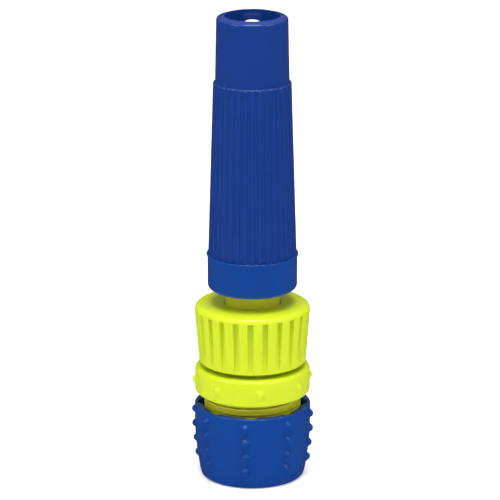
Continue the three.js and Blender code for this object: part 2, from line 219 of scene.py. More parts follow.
def moulded_group():
    """Grain, swell and gloss patches of a moulded surface."""
    group = bpy.data.node_groups.new("moulded_surface", "ShaderNodeTree")
    group_socket(group, "Grain scale", "INPUT", "NodeSocketFloat", 3000.0)
    group_socket(group, "Grain depth", "INPUT", "NodeSocketFloat", 0.1)
    group_socket(group, "Roughness low", "INPUT", "NodeSocketFloat", 0.3)
    group_socket(group, "Roughness high", "INPUT", "NodeSocketFloat", 0.4)
    group_socket(group, "Tone", "OUTPUT", "NodeSocketFloat")
    group_socket(group, "Roughness", "OUTPUT", "NodeSocketFloat")
    group_socket(group, "Normal", "OUTPUT", "NodeSocketVector")
    nodes, links = group.nodes, group.links
    given = nodes.new("NodeGroupInput")
    made = nodes.new("NodeGroupOutput")
    place = nodes.new("ShaderNodeTexCoord")

    swell = nodes.new("ShaderNodeTexNoise")
    swell.inputs["Scale"].default_value = 90.0
    swell.inputs["Detail"].default_value = 3.0
    links.new(place.outputs["Object"], swell.inputs["Vector"])
    links.new(swell.outputs["Fac"], made.inputs["Tone"])

    patches = nodes.new("ShaderNodeTexNoise")
    patches.inputs["Scale"].default_value = 260.0
    patches.inputs["Detail"].default_value = 4.0
    links.new(place.outputs["Object"], patches.inputs["Vector"])
    gloss = nodes.new("ShaderNodeMapRange")
    gloss.inputs["From Min"].default_value = 0.3
    gloss.inputs["From Max"].default_value = 0.7
    links.new(patches.outputs["Fac"], gloss.inputs["Value"])
    links.new(given.outputs["Roughness low"], gloss.inputs["To Min"])
    links.new(given.outputs["Roughness high"], gloss.inputs["To Max"])
    links.new(gloss.outputs["Result"], made.inputs["Roughness"])

    grain = nodes.new("ShaderNodeTexNoise")
    grain.inputs["Detail"].default_value = 2.0
    links.new(place.outputs["Object"], grain.inputs["Vector"])
    links.new(given.outputs["Grain scale"], grain.inputs["Scale"])
    bump = nodes.new("ShaderNodeBump")
    bump.inputs["Distance"].default_value = 0.05 * MM
    links.new(given.outputs["Grain depth"], bump.inputs["Strength"])
    links.new(grain.outputs["Fac"], bump.inputs["Height"])
    links.new(bump.outputs["Normal"], made.inputs["Normal"])
    return group


MOULDED = moulded_group()
print("group:", MOULDED.name)

# %% [markdown]
# ## The seven finishes
#
# The outer parts are polypropylene: satin underneath, with a thin smooth skin from the mould.
# The blue has a second, deeper tone on the long sleeve. On the stem and the connector's shell the lime is a
# duller, more olive copy, which is painted shade: the neck and the thread that show there sit in shadow
# under the end cap and the release ring. The needle, claws and collet are white acetal, the seals greased
# rubber, and the spring drawn steel wire. Each colour is a mix of two near shades, driven by the group's
# tone.

# %% Make the materials
SKIN_ROUGHNESS = 0.1


def moulded_material(name, shades, roughness, grain, metallic=0.0, gloss=0.5, skin=0.0):
    """A material whose colour lies between two shades.

    Roughness is a lowest and a highest value, grain is a scale and a depth, gloss is the
    base's shine, and skin is the strength of the smooth layer over it.
    """
    material = bpy.data.materials.new(name)
    material.use_nodes = True
    nodes, links = material.node_tree.nodes, material.node_tree.links
    shader = nodes["Principled BSDF"]
    shader.inputs["Metallic"].default_value = metallic
    shader.inputs["Specular IOR Level"].default_value = gloss
    shader.inputs["Coat Weight"].default_value = skin
    shader.inputs["Coat Roughness"].default_value = SKIN_ROUGHNESS
    surface = nodes.new("ShaderNodeGroup")
    surface.node_tree = MOULDED
    surface.inputs["Grain scale"].default_value = grain[0]
    surface.inputs["Grain depth"].default_value = grain[1]
    surface.inputs["Roughness low"].default_value = roughness[0]
    surface.inputs["Roughness high"].default_value = roughness[1]
    colour = nodes.new("ShaderNodeMix")
    colour.data_type = "RGBA"
    colour.inputs["A"].default_value = (*shades[0], 1)
    colour.inputs["B"].default_value = (*shades[1], 1)
    links.new(surface.outputs["Tone"], colour.inputs["Factor"])
    links.new(colour.outputs["Result"], shader.inputs["Base Color"])
    links.new(surface.outputs["Roughness"], shader.inputs["Roughness"])
    links.new(surface.outputs["Normal"], shader.inputs["Normal"])
    return material


BLUE = moulded_material(
    "blue_polypropylene", [(0.001, 0.044, 0.25), (0.002, 0.051, 0.285)], (0.42, 0.52), (2600, 0.08),
    gloss=0.05, skin=0.45,
)
SLEEVE_BLUE = moulded_material(
    "sleeve_polypropylene", [(0.004, 0.034, 0.213), (0.006, 0.04, 0.242)], (0.42, 0.52), (2600, 0.08),
    gloss=0.05, skin=0.7,
)
LIME = moulded_material(
    "lime_polypropylene", [(0.575, 0.7, 0.01), (0.635, 0.76, 0.018)], (0.42, 0.52), (2200, 0.1),
    gloss=0.2, skin=0.3,
)
# Painted shade: a duller, more olive copy of the lime, for the shadowed neck of the stem and the thread of
# the connector's shell.
LIME_PAINTED_SHADE = moulded_material(
    "lime_polypropylene_painted_shade", [(0.56, 0.58, 0.015), (0.62, 0.64, 0.025)], (0.42, 0.52), (2200, 0.1),
    gloss=0.2, skin=0.3,
)
WHITE = moulded_material(
    "moulded_acetal", [(0.78, 0.8, 0.74), (0.85, 0.87, 0.82)], (0.28, 0.36), (3000, 0.08)
)
RUBBER = moulded_material(
    "greased_rubber", [(0.012, 0.012, 0.013), (0.02, 0.02, 0.02)], (0.35, 0.6), (4000, 0.25)
)
STEEL = moulded_material(
    "drawn_wire", [(0.5, 0.5, 0.5), (0.62, 0.62, 0.63)], (0.22, 0.34), (6000, 0.3), metallic=1.0
)
print("materials:", [m.name for m in (BLUE, SLEEVE_BLUE, LIME, LIME_PAINTED_SHADE, WHITE, RUBBER, STEEL)])

# %% [markdown]
# ## Turning a part
#
# Nearly every part here is round, as if turned on a lathe. A circle is added at the first
# point of the part's outline, then extruded and scaled from point to point, and the last
# ring is bridged back to the first. That gives even rows and columns of faces, which later
# steps pick by angle and height. Radii and heights are in millimetres.

# %% Helpers for turned parts
def clear_selection():
    """Nothing selected, in object mode."""
    if bpy.context.object and bpy.context.object.mode != "OBJECT":
        bpy.ops.object.mode_set(mode="OBJECT")
    bpy.ops.object.select_all(action="DESELECT")


def settle(piece):
    """Puts the piece's place and size into its mesh."""
    clear_selection()
    piece.select_set(True)
    bpy.context.view_layer.objects.active = piece
    bpy.ops.object.transform_apply(location=True, rotation=True, scale=True)


def turned(name, outline, columns, capped=False):
    """A round part from an outline of (radius, height) points, closed or capped at its ends."""
    clear_selection()
    radius, height = outline[0]
    bpy.ops.mesh.primitive_circle_add(
        vertices=columns, radius=radius * MM, location=(0, 0, height * MM)
    )
    piece = bpy.context.object
    piece.name = name
    settle(piece)
    bpy.ops.object.mode_set(mode="EDIT")
    bpy.ops.mesh.select_all(action="SELECT")
    for next_radius, next_height in outline[1:]:
        step = (0, 0, (next_height - height) * MM)
        bpy.ops.mesh.extrude_region_move(TRANSFORM_OT_translate={"value": step})
        grow = next_radius / radius
        bpy.ops.transform.resize(value=(grow, grow, 1), center_override=(0, 0, 0))
        radius, height = next_radius, next_height
    bpy.ops.mesh.select_all(action="DESELECT")
    bpy.ops.mesh.select_non_manifold(extend=False)
    if capped:
        bpy.ops.mesh.fill_holes(sides=0)
    else:
        bpy.ops.mesh.bridge_edge_loops()
    bpy.ops.mesh.select_all(action="SELECT")
    bpy.ops.mesh.normals_make_consistent(inside=False)
    bpy.ops.object.mode_set(mode="OBJECT")
    return piece


def bend(radius, height, size, start, end, steps=5):
    """Outline points round part of a circle, from one angle to another, in degrees."""
    turn = [math.radians(start + (end - start) * i / steps) for i in range(steps + 1)]
    return [(radius + size * math.cos(a), height + size * math.sin(a)) for a in turn]


def pick(piece, wanted):
    """Enters edit mode with the vertices selected for which wanted(radius, angle, z) holds.

    The angle is in degrees round Z, 0 at the front of the object and 90 on its right.
    """
    clear_selection()
    bpy.context.view_layer.objects.active = piece
    piece.select_set(True)
    bpy.ops.object.mode_set(mode="EDIT")
    bpy.ops.mesh.select_all(action="DESELECT")
    bpy.ops.mesh.select_mode(type="VERT")
    bpy.ops.object.mode_set(mode="OBJECT")
    for vertex in piece.data.vertices:
        x, y, z = vertex.co / MM
        angle = math.degrees(math.atan2(x, -y))
        vertex.select = wanted(math.hypot(x, y), angle, z)
    bpy.ops.object.mode_set(mode="EDIT")


def scale_round(factor):
    """Scales the selection towards or away from the axis, and leaves edit mode."""
    bpy.ops.transform.resize(value=(factor, factor, 1), center_override=(0, 0, 0))
    bpy.ops.object.mode_set(mode="OBJECT")


def offset_from(angle, first, pitch):
    """How many degrees an angle is from the nearest of the marks first, first + pitch..."""
    return abs((angle - first + pitch / 2) % pitch - pitch / 2)


# %% [markdown]
# ## Joining, cutting and finishing
#
# Knobs and screw threads are made apart and joined to their part with a Boolean modifier,
# and slots are cut with one. A finished part gets smooth shading broken at its real edges,
# rides on its body, and replaces the plain part.

# %% Helpers for joining, cutting and finishing
def combine(piece, tools, operation):
    """Joins the tools to the piece or cuts them out of it, then removes them."""
    clear_selection()
    for tool in tools:
        tool.select_set(True)
    bpy.context.view_layer.objects.active = tools[0]
    if len(tools) > 1:
        bpy.ops.object.join()
    tool = bpy.context.object
    clear_selection()
    bpy.context.view_layer.objects.active = piece
    piece.select_set(True)
    boolean = piece.modifiers.new("combine", "BOOLEAN")
    boolean.object = tool
    boolean.operation = operation
    boolean.solver = "EXACT"
    bpy.ops.object.modifier_apply(modifier=boolean.name)
    bpy.data.objects.remove(tool)
    return piece


def copies_round(tool, count, first):
    """Copies of a tool set round Z, the first turned by an angle from the front, in degrees."""
    made = []
    for i in range(count):
        clear_selection()
        tool.select_set(True)
        bpy.context.view_layer.objects.active = tool
        bpy.ops.object.duplicate()
        copy = bpy.context.object
        copy.rotation_euler = (0, 0, math.radians(first + 360 * i / count))
        settle(copy)
        made.append(copy)
    bpy.data.objects.remove(tool)
    return made


def soften(piece, width, segments=2, angle=40):
    """Rounds every edge sharper than the angle."""
    clear_selection()
    bpy.context.view_layer.objects.active = piece
    bevel = piece.modifiers.new("soften", "BEVEL")
    bevel.width = width * MM
    bevel.segments = segments
    bevel.limit_method = "ANGLE"
    bevel.angle_limit = math.radians(angle)
    bpy.ops.object.modifier_apply(modifier=bevel.name)
    return piece


def finish_part(piece, body, node, material, smooth=35):
    """Shades the piece, gives it its finish, and puts it in place of the plain part."""
    clear_selection()
    piece.select_set(True)
    bpy.context.view_layer.objects.active = piece
    bpy.ops.object.shade_smooth_by_angle(angle=math.radians(smooth))
    piece.data.materials.clear()
    piece.data.materials.append(material)
    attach(piece, body)
    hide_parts(node)
    print(f"{piece.name}: {len(piece.data.polygons)} faces")
    return piece


# %% [markdown]
# ## A knob
#
# The grip knobs on the nut and the release ring are small domes that flow into the wall.
# Each is turned as a dome whose foot spreads out, laid on its side, and moved out to the wall.

# %% Helper for knobs
KNOB_R = 1.2
KNOBS_ROUND = 8


def knob(wall_radius, height, proud):
    """A dome that stands on the front of a round wall."""
    outline = [(KNOB_R * 1.5, -0.6), (KNOB_R * 1.45, -0.15), (KNOB_R * 1.22, 0.02)]
    outline += [(KNOB_R * 1.02, proud * 0.2), (KNOB_R * 0.9, proud * 0.45)]
    outline += [(KNOB_R * 0.7, proud * 0.75), (KNOB_R * 0.4, proud * 0.94), (KNOB_R * 0.08, proud)]
    dome = turned("knob", outline, 20, capped=True)
    dome.rotation_euler = (math.pi / 2, 0, 0)
    settle(dome)
    dome.location = (0, -wall_radius * MM, height * MM)
    settle(dome)
    return dome


# %% [markdown]
# ## A screw thread
#
# A thread is one flat-topped ridge wound round a core. Its section is drawn as a small
# plane's four corners, the Screw modifier winds it up by one pitch a turn, and the two
# open ends are filled.

# %% Helper for threads
def ridge(core, crest, pitch, turns, height, steps=60):
    """The wound ridge of a thread, from a core radius to its crest, starting at a height."""
    clear_selection()
    bpy.ops.mesh.primitive_plane_add(size=1)
    thread = bpy.context.object
    root = core - math.copysign(0.3, crest - core)
    corners = [(root, -0.34), (root, 0.34), (crest, 0.13), (crest, -0.13)]
    order = sorted(thread.data.vertices, key=lambda v: math.atan2(v.co.y, v.co.x))
    for vertex, (radius, share) in zip(order, corners):
        vertex.co = (radius * MM, 0, (height + share * pitch) * MM)
    bpy.ops.object.mode_set(mode="EDIT")
    bpy.ops.mesh.select_all(action="SELECT")
    bpy.ops.mesh.delete(type="ONLY_FACE")
    bpy.ops.object.mode_set(mode="OBJECT")
    screw = thread.modifiers.new("wind", "SCREW")
    screw.angle = 2 * math.pi * turns
    screw.screw_offset = pitch * turns * MM
    screw.steps = screw.render_steps = round(steps * turns)
    screw.use_merge_vertices = False
    bpy.ops.object.modifier_apply(modifier=screw.name)
    bpy.ops.object.mode_set(mode="EDIT")
    bpy.ops.mesh.select_all(action="SELECT")
    bpy.ops.mesh.fill_holes(sides=0)
    bpy.ops.mesh.select_all(action="SELECT")
    bpy.ops.mesh.normals_make_consistent(inside=False)
    bpy.ops.object.mode_set(mode="OBJECT")
    return thread


# %% [markdown]
# ## The twist sleeve
#
# The sleeve is the part that the hand turns. Its lower two thirds have 36 shallow flutes on
# a slow taper, then a small ledge, then a smooth band up to a rounded rim with the spray
# bore in it. The flutes are made by pulling columns of vertices inwards, so they stay
# parallel to the taper and end under the ledge.

# %% Turn the sleeve and flute it
FLUTES = 36
FLUTE_PITCH = 360 / FLUTES
FLUTE_FIRST = FLUTE_PITCH / 2
FLUTE_HALF = 2.2
MEAN_GRIP_R = 12.4
LEDGE = MOUTH_TOP - 19.9
GRIP_TOP_R = 11.6
BORE_R = 8.15
BACK_BORE_R = 8.7
FRONT_BORE_R = 7.8
ORIFICE_R = 3.6
WEB_TOP = MOUTH_TOP - 8.0
HUB_R = 10.3
POCKET_TOP = 95.0
SEAM_Z = CAP_TOP + 0.25
BORE_STEP = 96.4
FLUTE_END_R = 11.12
GRIP_PITCH = 3.0

sleeve_outline = [
    (BACK_BORE_R, SLEEVE_LOW + 0.3), (BACK_BORE_R + 0.3, SLEEVE_LOW), (HUB_R - 0.3, SLEEVE_LOW),
    (HUB_R, SLEEVE_LOW + 0.3), (HUB_R, POCKET_TOP - 0.4), (HUB_R + 0.2, POCKET_TOP),
    (10.8, POCKET_TOP), (11.6, SEAM_Z + 0.06), (13.2, SEAM_Z + 0.06), (13.34, SEAM_Z + 0.16),
    (13.24, SEAM_Z + 0.5), (13.17, SEAM_Z + 1.0), (13.13, SEAM_Z + 2),
    (GRIP_TOP_R + 0.03, LEDGE - 1.5), (GRIP_TOP_R, LEDGE - 0.45),
]
ledge_round = bend(GRIP_TOP_R - 0.35, LEDGE - 0.45, 0.35, 25, 90, 3)
sleeve_outline += ledge_round
sleeve_outline += [(11.08, LEDGE - 0.08), (10.99, LEDGE + 0.05), (10.98, LEDGE + 0.3)]
sleeve_outline += [(10.96, LEDGE + 1.2), (10.62, MOUTH_TOP - 2.2), (10.6, MOUTH_TOP - 1.25)]
sleeve_outline += bend(9.8, MOUTH_TOP - 1.25, 0.8, 15, 75, 5)
sleeve_outline += [(9.2, MOUTH_TOP - 0.27), (8.6, MOUTH_TOP - 0.08)]
sleeve_outline += bend(BORE_R + 0.2, MOUTH_TOP - 0.2, 0.2, 90, 180, 4)
sleeve_outline += [(BORE_R - 0.05, WEB_TOP + 0.5)]
sleeve_outline += bend(BORE_R - 0.45, WEB_TOP + 0.4, 0.4, 0, -90, 3)
sleeve_outline += [(ORIFICE_R + 0.3, WEB_TOP), (ORIFICE_R, WEB_TOP - 0.3), (ORIFICE_R, WEB_TOP - 2.8)]
sleeve_outline += [(FRONT_BORE_R, WEB_TOP - 5.4), (FRONT_BORE_R, BORE_STEP + 1), (BACK_BORE_R, BORE_STEP)]

sleeve = turned("fluted_sleeve", sleeve_outline, FLUTES * 10)


def flute_wall(half_width):
    """Picks the outer wall inside the flutes, from the seam to the ledge."""
    def wanted(radius, angle, z):
        least = 11.5 if z > SEAM_Z + 2 else 13.0
        inside = offset_from(angle, FLUTE_FIRST, FLUTE_PITCH) < half_width
        return inside and radius > least and SEAM_Z < z < LEDGE + 0.02
    return wanted


def flute_end(row_z):
    """Picks one row of the ledge's round, inside the flutes."""
    def wanted(radius, angle, z):
        inside = offset_from(angle, FLUTE_FIRST, FLUTE_PITCH) < FLUTE_HALF
        return inside and radius > 11.2 and abs(z - row_z) < 0.02
    return wanted


for half_width, depth in ((1.2, 0.5), (FLUTE_HALF, 0.46)):
    pick(sleeve, flute_wall(half_width))
    scale_round(1 - depth / 2 / MEAN_GRIP_R)
for radius, height in ledge_round[1:]:
    pick(sleeve, flute_end(height))
    scale_round(FLUTE_END_R / radius)
sleeve_thread = ridge(BACK_BORE_R, 7.85, GRIP_PITCH, 2.5, 78.5)
combine(sleeve, [sleeve_thread], "UNION")
finish_part(sleeve, "sleeve", "twist_sleeve", SLEEVE_BLUE, smooth=40)

# %% [markdown]
# ## The sleeve's end cap
#
# A plain collar closes the sleeve's lower end. It is turned with a generous round at the
# bottom and a small bead at the top, which hides the joint with the flutes.

# %% Turn the end cap
NECK_R = 8.3
CAP_WALL_R = 13.4
CAP_ROUND = 1.7
cap_outline = bend(NECK_R + 0.6, CAP_LOW + 0.4, 0.3, 180, 270, 3)
cap_outline += bend(CAP_WALL_R - CAP_ROUND, CAP_LOW + CAP_ROUND + 0.1, CAP_ROUND, -90, 0, 8)
cap_outline += [(CAP_WALL_R, SEAM_Z - 1.5), (CAP_WALL_R + 0.08, SEAM_Z - 0.9)]
cap_outline += bend(CAP_WALL_R + 0.1, SEAM_Z - 0.28, 0.25, -15, 75, 6)
cap_outline += [(13.35, SEAM_Z), (HUB_R + 0.3, SEAM_Z), (HUB_R + 0.1, CAP_TOP - 0.2)]
cap_outline += [(HUB_R + 0.1, CAP_LOW + 2.3), (HUB_R - 0.2, CAP_LOW + 2), (NECK_R + 0.3, CAP_LOW + 2)]

end_cap = turned("sleeve_collar", cap_outline, 192)
finish_part(end_cap, "sleeve", "sleeve_end_cap", BLUE)

# %% [markdown]
# ## The grip skirt
#
# The skirt has 24 square-ended grooves between flat ribs. It tapers, but the floors of its
# grooves are nearly upright, so a groove is deep at the shoulder and runs out to almost
# nothing at the lower edge. Ring by ring, the columns in a groove are scaled to the floor.

# %% Turn the skirt and groove it
GROOVES = 24
GROOVE_PITCH = 360 / GROOVES
GROOVE_FIRST = -2
GROOVE_HALF = 2.6
GROOVE_LOW_R = 15.55
GROOVE_HIGH_R = 15.85
GROOVE_END_R = 15.9
SHOULDER_Z = SKIRT_TOP - 2.3
LOW_R = 16.06
WIDE_R = SKIRT_R + 0.09
FLOOR_TOP = SKIRT_TOP - 1.75
CAVITY_R = 14.7
CAVITY_TOP = SKIRT_TOP - 2.05

SKIRT_ROWS = 6
skirt_rise = SHOULDER_Z - SKIRT_LOW - 0.25
skirt_wall = [(LOW_R, SKIRT_LOW + 0.25), (LOW_R + 0.03, SKIRT_LOW + 0.6)]
for row in range(1, SKIRT_ROWS + 1):
    share = row / SKIRT_ROWS
    skirt_wall.append((LOW_R + (WIDE_R - LOW_R) * share, SKIRT_LOW + 0.25 + skirt_rise * share))

skirt_outline = [(CAVITY_R, CAVITY_TOP - 0.3), (CAVITY_R, SKIRT_LOW + 0.2)]
skirt_outline += [(CAVITY_R + 0.2, SKIRT_LOW), (LOW_R - 0.25, SKIRT_LOW)]
skirt_outline += skirt_wall
skirt_outline += [(WIDE_R - 0.01, FLOOR_TOP - 0.22), (WIDE_R - 0.04, FLOOR_TOP)]
skirt_outline += bend(WIDE_R - 1.6, SKIRT_TOP - 1.85, 1.6, 12, 82, 7)
skirt_outline += [(WIDE_R - 2.8, SKIRT_TOP - 0.12), (11.5, SKIRT_TOP), (NECK_R + 0.35, SKIRT_TOP)]
skirt_outline += [(NECK_R + 0.15, SKIRT_TOP - 0.2), (NECK_R + 0.15, CAVITY_TOP + 0.1)]
skirt_outline += [(NECK_R + 0.25, CAVITY_TOP), (CAVITY_R - 0.3, CAVITY_TOP)]

skirt = turned("ribbed_skirt", skirt_outline, GROOVES * 30)


def groove_row(row_radius, row_z, slack=0.05):
    """Picks one row of the outer wall, inside the grooves."""
    def wanted(radius, angle, z):
        inside = offset_from(angle, GROOVE_FIRST, GROOVE_PITCH) < GROOVE_HALF
        return inside and abs(z - row_z) < 0.01 and abs(radius - row_radius) < slack
    return wanted


for radius, height in skirt_wall[1:]:
    share = (height - SKIRT_LOW) / (SHOULDER_Z - SKIRT_LOW)
    floor = GROOVE_LOW_R + (GROOVE_HIGH_R - GROOVE_LOW_R) * share
    if height < SKIRT_LOW + 1:
        floor = GROOVE_END_R
    pick(skirt, groove_row(radius, height))
    scale_round(floor / radius)
pick(skirt, groove_row(WIDE_R - 0.01, FLOOR_TOP - 0.22))
scale_round(GROOVE_HIGH_R / (WIDE_R - 0.01))
soften(skirt, 0.06, 2, 50)
finish_part(skirt, "nozzle", "grip_skirt", LIME)

# %% [markdown]
# ## The stem
#
# The stem is one lime moulding: the spigot with its locking groove and seal groove, the
# flange that the skirt rests on, the smooth neck, the coarse thread that the sleeve climbs,
# and the tube with four ports below the needle.

# %% Turn the stem, wind its thread and drill its ports
WATER_R = 4.5
SPIGOT_R = 8.25
NOSE_R = 7.75
TUBE_R = 6.2
CREST_R = 8.45
ROOT_R = 7.6
LAND_R = 7.4
THREAD_LOW = CAP_TOP + 7.6
THREAD_HIGH = BORE_STEP - 1.2
PORT_Z = STEM_TOP - 5.7


def seal_groove(radius, middle, depth):
    """The outline of a seal's groove, round a height."""
    half = 1.2
    inner = radius - depth
    return [
        (radius, middle - half - 0.1), (radius - 0.1, middle - half),
        (inner + 0.15, middle - half), (inner, middle - half + 0.15),
        (inner, middle + half - 0.15), (inner + 0.15, middle + half),
        (radius - 0.1, middle + half), (radius, middle + half + 0.1),
    ]


def ring_height(node):
    """The height of a rubber ring's middle, in millimetres."""
    low, high, _ = reach(node)
    return (low + high) / 2


stem_outline = [(WATER_R, STEM_LOW + 0.3), (WATER_R + 0.3, STEM_LOW), (NOSE_R - 0.9, STEM_LOW)]
stem_outline += [(NOSE_R, STEM_LOW + 1)]
stem_outline += seal_groove(NOSE_R, ring_height("spigot_o_ring"), 1.95)
stem_outline += [(NOSE_R, CLAW_LOW - 3.0), (SPIGOT_R, CLAW_LOW - 2.4)]
stem_outline += [(SPIGOT_R, CLAW_LOW - 0.5), (SPIGOT_R - 0.2, CLAW_LOW - 0.45), (7.3, CLAW_LOW - 0.45)]
stem_outline += [(7.3, CLAW_TOP + 0.45), (SPIGOT_R - 0.2, CLAW_TOP + 0.45), (SPIGOT_R, CLAW_TOP + 0.6)]
stem_outline += [(SPIGOT_R, SKIRT_TOP - 3.6), (10.3, SKIRT_TOP - 3.6), (10.5, SKIRT_TOP - 3.4)]
stem_outline += [(10.5, SKIRT_TOP - 2.1), (NECK_R, SKIRT_TOP - 2.1), (NECK_R, SKIRT_TOP + 2)]
stem_outline += [(NECK_R, THREAD_LOW - 1.4), (ROOT_R, THREAD_LOW - 0.7), (ROOT_R, THREAD_HIGH + 0.3)]
stem_outline += [(LAND_R, THREAD_HIGH + 0.6)]
stem_outline += seal_groove(LAND_R, ring_height("stem_o_ring_rear"), 1.72)
stem_outline += seal_groove(LAND_R, ring_height("stem_o_ring_front"), 1.72)
front_land = ring_height("stem_o_ring_front") + 2
stem_outline += [(LAND_R, front_land), (TUBE_R, front_land + 0.5), (TUBE_R, STEM_TOP - 0.3)]
stem_outline += [(TUBE_R - 0.3, STEM_TOP), (WATER_R + 0.2, STEM_TOP), (WATER_R, STEM_TOP - 0.2)]

stem = turned("threaded_stem", stem_outline, 120)
stem_turns = (THREAD_HIGH - THREAD_LOW) / GRIP_PITCH
combine(stem, [ridge(ROOT_R, CREST_R, GRIP_PITCH, stem_turns, THREAD_LOW + 0.1)], "UNION")


def drill(radius, length, height):
    """A drill that lies along X at a height."""
    clear_selection()
    bpy.ops.mesh.primitive_cylinder_add(
        vertices=32, radius=radius * MM, depth=length * MM,
        location=(0, 0, height * MM), rotation=(0, math.pi / 2, 0),
    )
    bit = bpy.context.object
    settle(bit)
    return bit


for bit in copies_round(drill(1.9, 20, PORT_Z), 2, 0):
    combine(stem, [bit], "DIFFERENCE")
# The stem gets the lime with painted shade, darkened for its neck in the shadow under the end cap.
finish_part(stem, "nozzle", "nozzle_stem", LIME_PAINTED_SHADE)

# %% [markdown]
# ## The spray needle
#
# The needle is pressed into the stem's end. Its domed head sits in the orifice: pulled back
# it lets a round jet through, and nearer it fans the water out into a cone.

# %% Turn the needle
HEAD_R = 2.9
SHANK_R = 2.2
needle_outline = [(0.4, NEEDLE_LOW), (4.1, NEEDLE_LOW), (4.4, NEEDLE_LOW + 0.3), (4.4, STEM_TOP + 0.05)]
needle_outline += [(5.9, STEM_TOP + 0.05), (6.1, STEM_TOP + 0.25), (6.1, STEM_TOP + 1.1)]
needle_outline += [(5.9, STEM_TOP + 1.3), (3.1, STEM_TOP + 1.8), (3.0, STEM_TOP + 2.0)]
needle_seal = ring_height("needle_o_ring")
needle_outline += [(3.0, needle_seal - 1.0), (SHANK_R, needle_seal - 1.0), (SHANK_R, NEEDLE_TOP - 5.4)]
needle_outline += [(HEAD_R - 0.1, NEEDLE_TOP - 3.7), (HEAD_R, NEEDLE_TOP - 3.4)]
needle_outline += [(HEAD_R, NEEDLE_TOP - 1.5), (2.78, NEEDLE_TOP - 1.05), (2.5, NEEDLE_TOP - 0.65)]
needle_outline += [(2.1, NEEDLE_TOP - 0.33), (1.55, NEEDLE_TOP - 0.12), (0.8, NEEDLE_TOP), (0.1, NEEDLE_TOP)]

needle = turned("jet_needle", needle_outline, 64, capped=True)
finish_part(needle, "nozzle", "spray_needle", WHITE)

# %% [markdown]
# ## The release ring
#
# Pulling this ring towards the hose lets the claws move out, and the nozzle comes off. The
# grip band has eight knobs. Above it a thin collar runs up inside the skirt, with the cone
# that holds the claws in.

# %% Turn the release ring and set its knobs
RING_R = 17.3
RING_KNOB_FIRST = 7.5
RING_FOOT = RING_LOW + 0.2
RING_TOP = SKIRT_LOW - 1.5
INNER_R = 14.95
POCKET_R = 12.9
HEAD_WALL_R = 9.9
CONE_LOW_R = 11.0
CONE_HIGH_R = CONE_LOW_R + 0.3 * (RING_NOSE - CLAW_LOW)

ring_outline = [(INNER_R, RING_FOOT + 0.2), (INNER_R + 0.2, RING_FOOT), (15.75, RING_FOOT)]
ring_outline += bend(RING_R - 1.25, RING_FOOT + 1.25, 1.25, -72, 0, 7)
ring_outline += [(RING_R, RING_TOP - 1.3)]
ring_outline += bend(RING_R - 1.3, RING_TOP - 1.3, 1.3, 0, 90, 8)
ring_outline += [(CONE_HIGH_R + 0.9, RING_TOP), (CONE_HIGH_R + 0.75, RING_TOP + 0.15)]
ring_outline += [(CONE_HIGH_R + 0.75, RING_NOSE - 0.3), (CONE_HIGH_R + 0.5, RING_NOSE)]
ring_outline += [(CONE_HIGH_R, RING_NOSE), (CONE_LOW_R, CLAW_LOW), (HEAD_WALL_R + 0.3, CLAW_LOW - 0.6)]
ring_outline += [(HEAD_WALL_R + 0.3, RING_TOP - 0.2), (POCKET_R, RING_TOP - 0.2)]
ring_outline += [(POCKET_R, RING_LOW + 3.4), (INNER_R, RING_LOW + 3.4)]

release_ring = turned("knobbed_release_ring", ring_outline, 192)
ring_knob = knob(RING_R, (RING_FOOT + RING_TOP) / 2 + 0.05, 0.9)
combine(release_ring, copies_round(ring_knob, KNOBS_ROUND, RING_KNOB_FIRST), "UNION")
finish_part(release_ring, "release", "release_ring", LIME)

# %% [markdown]
# ## The connector body
#
# The body is the backbone: a barbed hose tail below, a screw thread outside for the nut,
# and above it the socket that takes the spigot, with four windows for the claws.

# %% Turn the connector body, wind its thread and cut its windows
SHELL_CREST_R = 14.55
SHELL_ROOT_R = 13.85
SHELL_INNER_R = 12.3
SHELL_LOW = 10.6
SHELL_THREAD_LOW = 11.45
HOSE_PITCH = 1.5
SHELL_TOP = RING_LOW + 0.2
HOSE_STOP = 16.0
SOCKET_FLOOR = STEM_LOW - 0.5
SOCKET_R = 7.95
SOCKET_MOUTH_R = 8.6
BARBS = 3

body_outline = [(WATER_R, BODY_LOW + 0.2), (WATER_R + 0.2, BODY_LOW)]
barb_length = (HOSE_STOP - 2 - BODY_LOW) / BARBS
for i in range(BARBS):
    foot = BODY_LOW + i * barb_length
    body_outline += [(5.85, foot), (6.55, foot + 0.8 * barb_length), (6.55, foot + 0.9 * barb_length)]
    body_outline += [(5.9, foot + 0.97 * barb_length)]
body_outline += [(5.95, HOSE_STOP - 0.4), (6.35, HOSE_STOP), (SHELL_INNER_R - 0.3, HOSE_STOP)]
body_outline += [(SHELL_INNER_R, HOSE_STOP - 0.3), (SHELL_INNER_R, SHELL_LOW + 0.5)]
body_outline += [(SHELL_INNER_R + 0.4, SHELL_LOW), (SHELL_ROOT_R - 0.3, SHELL_LOW)]
body_outline += [(SHELL_ROOT_R, SHELL_LOW + 0.3), (SHELL_ROOT_R, SHELL_TOP - 0.2)]
body_outline += [(SHELL_ROOT_R - 0.2, SHELL_TOP), (12.9, SHELL_TOP), (12.7, SHELL_TOP - 0.2)]
body_outline += [(12.7, 20.5), (12.4, 20.2), (HEAD_WALL_R, 20.2), (HEAD_WALL_R, BODY_TOP - 0.4)]
body_outline += [(HEAD_WALL_R - 0.4, BODY_TOP), (SOCKET_MOUTH_R + 0.5, BODY_TOP)]
body_outline += [(SOCKET_MOUTH_R, BODY_TOP - 0.9), (SOCKET_MOUTH_R, CLAW_LOW - 3.2)]
body_outline += [(SOCKET_R, CLAW_LOW - 3.9), (SOCKET_R, SOCKET_FLOOR), (WATER_R, SOCKET_FLOOR)]

body = turned("connector_shell", body_outline, 144)
shell_turns = (SHELL_TOP - 0.5 - SHELL_THREAD_LOW) / HOSE_PITCH
shell_thread = ridge(SHELL_ROOT_R, SHELL_CREST_R, HOSE_PITCH, shell_turns, SHELL_THREAD_LOW)
combine(body, [shell_thread], "UNION")


